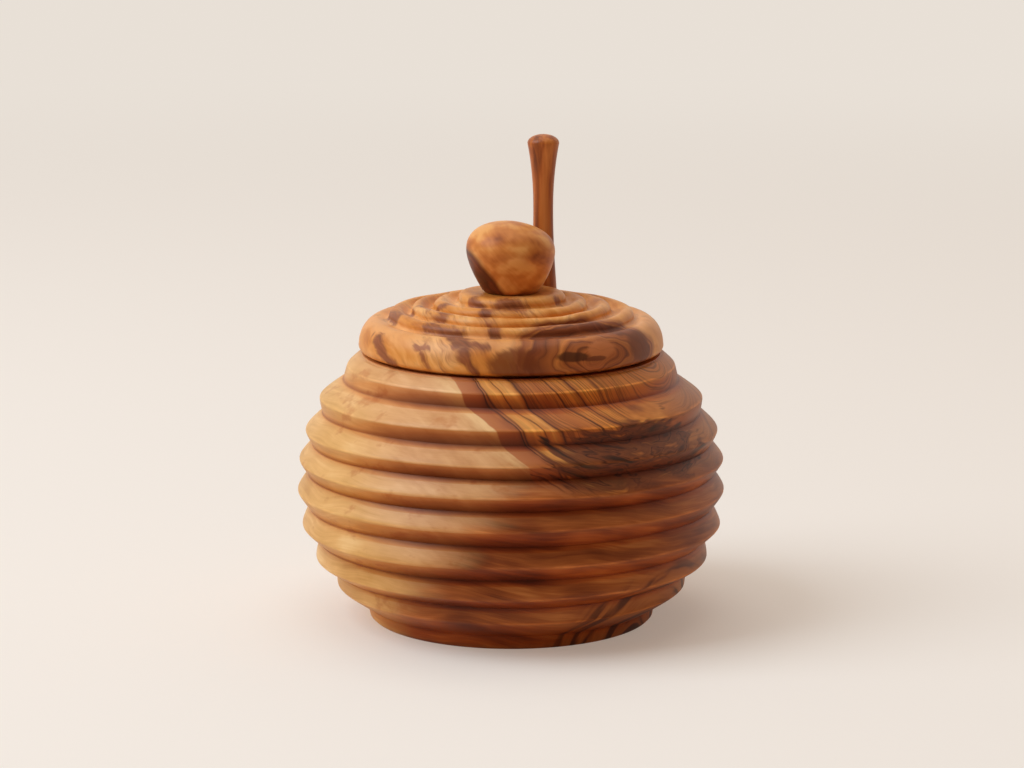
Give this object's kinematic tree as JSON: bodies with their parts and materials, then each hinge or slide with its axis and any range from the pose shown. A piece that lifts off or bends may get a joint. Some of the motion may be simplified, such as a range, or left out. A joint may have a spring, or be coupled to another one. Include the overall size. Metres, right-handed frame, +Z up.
{
  "type": "honey pot",
  "caption": "Ribbed round wooden honey pot with a lift-off stepped lid, an egg-shaped knob and a grooved dipper that stands up through the lid.",
  "frame": {"origin": "centre of the foot's flat face, on the pot's turning axis", "axes": "+Z up along the turning axis, -Y towards the front, +X to the right; the dipper stands behind the knob, towards +X and +Y"},
  "size_m": [0.115, 0.115, 0.1285],
  "materials": {
    "pot_wood": "satin, oiled olive wood: honey sapwood on the left, red-brown streaked heartwood on the right",
    "lid_wood": "satin, oiled olive wood: honey with brown blotches and a swirling knot",
    "knob_wood": "satin, oiled olive wood",
    "dowel_wood": "raw beech, glued in",
    "dipper_wood": "satin, oiled olive wood, darker"
  },
  "bodies": {
    "pot": {"pot_body": "pot_wood"},
    "lid": {"lid": "lid_wood", "knob": "knob_wood", "knob_dowel": "dowel_wood"},
    "dipper": {"dipper": "dipper_wood"}
  },
  "joints": [
    {"name": "lid_lift", "type": "slide", "parent": "pot", "child": "lid", "axis": [0, 0, 1], "range_m": [0, 0.1]},
    {"name": "dipper_lift", "type": "slide", "parent": "pot", "child": "dipper", "axis": [0, 0, 1], "range_m": [0, 0.028]}
  ]
}
